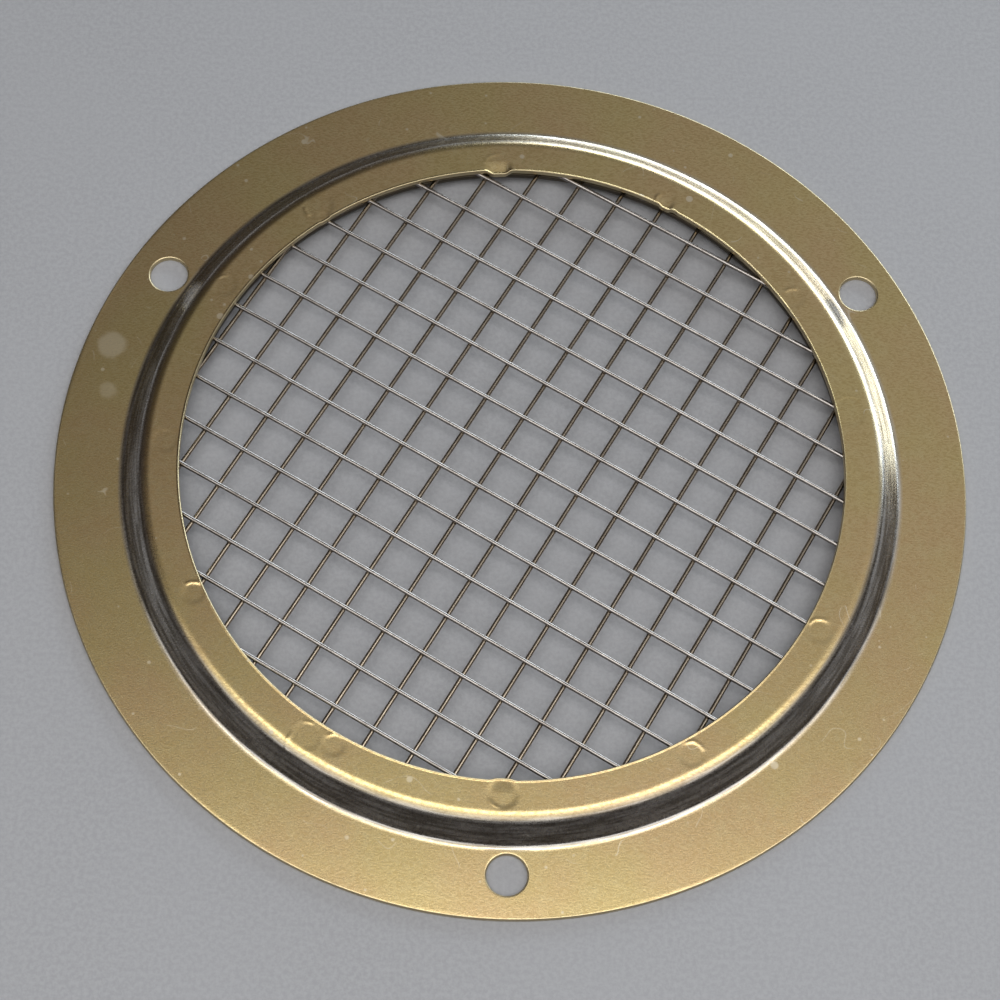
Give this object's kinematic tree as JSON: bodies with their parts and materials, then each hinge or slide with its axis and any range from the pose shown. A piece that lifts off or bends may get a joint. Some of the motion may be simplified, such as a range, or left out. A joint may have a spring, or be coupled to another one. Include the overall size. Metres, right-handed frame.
{
  "type": "flanged wire mesh guard ring",
  "caption": "Flat round flange with a raised inner land that holds a disc of welded wire mesh across an air opening, with a bolt circle for fixing.",
  "frame": {"origin": "on the ring's axis in the plane of the flange's rear face", "axes": "+Z along the ring's axis towards the raised land, with one mounting hole on -Y"},
  "size_m": [0.13, 0.13, 0.0041],
  "materials": {
    "flange": "yellow passivated zinc on pressed sheet steel, satin with a fine directional grain",
    "retainer": "yellow passivated zinc on flat sheet steel, satin",
    "welds": "dull fused steel",
    "upper_wires": "drawn wire, bright zinc",
    "lower_wires": "drawn wire, bright zinc with a faint bronze tint"
  },
  "bodies": {
    "root": {"flange_ring": "flange", "retaining_ring": "retainer", "spot_welds": "welds", "upper_wire_01": "upper_wires", "upper_wire_02": "upper_wires", "upper_wire_03": "upper_wires", "upper_wire_04": "upper_wires", "upper_wire_05": "upper_wires", "upper_wire_06": "upper_wires", "upper_wire_07": "upper_wires", "upper_wire_08": "upper_wires", "upper_wire_09": "upper_wires", "upper_wire_10": "upper_wires", "upper_wire_11": "upper_wires", "upper_wire_12": "upper_wires", "upper_wire_13": "upper_wires", "upper_wire_14": "upper_wires", "upper_wire_15": "upper_wires", "upper_wire_16": "upper_wires", "lower_wire_01": "lower_wires", "lower_wire_02": "lower_wires", "lower_wire_03": "lower_wires", "lower_wire_04": "lower_wires", "lower_wire_05": "lower_wires", "lower_wire_06": "lower_wires", "lower_wire_07": "lower_wires", "lower_wire_08": "lower_wires", "lower_wire_09": "lower_wires", "lower_wire_10": "lower_wires", "lower_wire_11": "lower_wires", "lower_wire_12": "lower_wires", "lower_wire_13": "lower_wires", "lower_wire_14": "lower_wires", "lower_wire_15": "lower_wires", "lower_wire_16": "lower_wires"}
  },
  "joints": []
}
